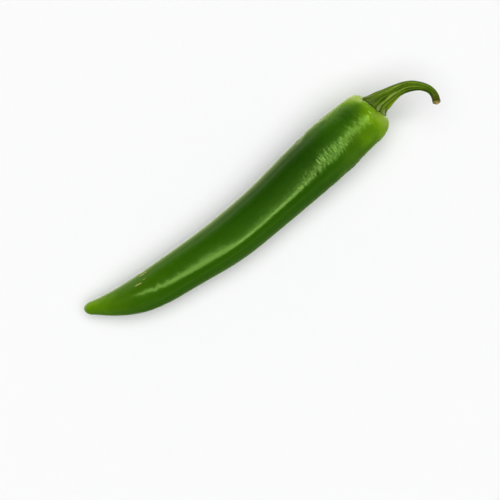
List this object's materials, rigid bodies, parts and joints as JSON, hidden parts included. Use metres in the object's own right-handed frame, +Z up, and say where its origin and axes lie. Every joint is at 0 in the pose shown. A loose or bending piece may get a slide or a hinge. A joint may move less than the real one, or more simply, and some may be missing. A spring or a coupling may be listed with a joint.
{
  "type": "finger chili pepper",
  "caption": "Fresh green finger chili pepper, as picked: a long, gently bent, tapering pod with a calyx and a hooked, ridged stem, lying on its side.",
  "frame": {"origin": "on the surface that the pepper lies on, under the middle of its bounding box", "axes": "+X along the pepper from the tip towards the stem, +Z up from the surface, +Y to the left of +X"},
  "size_m": [0.1426, 0.0256, 0.02],
  "materials": {
    "pod_skin": "smooth, waxy, glossy dark green skin, lighter towards the tip and the shoulder",
    "calyx_green": "satin green with lengthwise ridges, grey-green at the rim and cream at the cut end"
  },
  "bodies": {
    "root": {"pod": "pod_skin", "calyx_and_stem": "calyx_green"}
  },
  "joints": []
}
